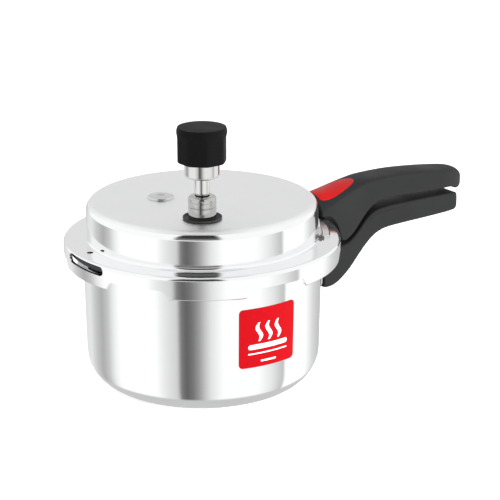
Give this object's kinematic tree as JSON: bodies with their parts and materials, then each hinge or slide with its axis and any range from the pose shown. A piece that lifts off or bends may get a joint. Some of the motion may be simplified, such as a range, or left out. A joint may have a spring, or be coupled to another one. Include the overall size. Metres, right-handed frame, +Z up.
{
  "type": "stovetop pressure cooker",
  "caption": "Stovetop pressure cooker with a turning outer lid, long handles, a lift-off weight valve and a fusible safety plug, for cooking food under steam.",
  "frame": {"origin": "centre of the flat underside of the pan, where it stands on the hob", "axes": "+Z up along the axis of the pan; +X along the two handles, from the pan outwards; +Y away from the side that carries the label"},
  "size_m": [0.3273, 0.1944, 0.196],
  "materials": {
    "pan_aluminium": "polished",
    "lid_aluminium": "polished",
    "rivet_aluminium": "satin",
    "bracket_steel": "bright plated steel",
    "black_bakelite": "satin moulded",
    "red_plastic": "satin",
    "black_rubber": "matte",
    "chromed_brass": "polished",
    "plain_brass": "machined",
    "plug_metal": "polished",
    "fusible_metal": "dull cast",
    "printed_label": "printed, glossy"
  },
  "bodies": {
    "pan": {"cooker_pan": "pan_aluminium", "pan_label": "printed_label", "pan_handle_bracket": "bracket_steel", "pan_bracket_rivets": "rivet_aluminium", "pan_handle": "black_bakelite", "pan_handle_screw": "bracket_steel"},
    "gasket": {"sealing_ring": "black_rubber"},
    "lid": {"cooker_lid": "lid_aluminium", "lid_handle_bracket": "bracket_steel", "lid_bracket_rivets": "rivet_aluminium", "lid_handle": "black_bakelite", "lid_handle_insert": "red_plastic", "lid_handle_screw": "bracket_steel", "vent_seal_washer": "black_rubber", "vent_collar": "chromed_brass", "vent_tube": "chromed_brass", "vent_inner_washer": "black_rubber", "vent_lock_nut": "plain_brass", "safety_plug": "plug_metal", "safety_plug_slug": "fusible_metal", "safety_plug_seal": "black_rubber", "safety_plug_nut": "plain_brass"},
    "weight": {"weight_body": "chromed_brass", "weight_cap": "black_bakelite", "weight_needle": "bracket_steel"}
  },
  "joints": [
    {"name": "lid_lift", "type": "slide", "parent": "pan", "child": "gasket", "axis": [0, 0, 1], "range_m": [0, 0.12]},
    {"name": "lid_turn", "type": "hinge", "parent": "gasket", "child": "lid", "pos_m": [0, 0, 0.1], "axis": [0, 0, 1], "range_deg": [0, 30]},
    {"name": "weight_lift", "type": "slide", "parent": "lid", "child": "weight", "axis": [0, 0, 1], "range_m": [0, 0.03]}
  ]
}
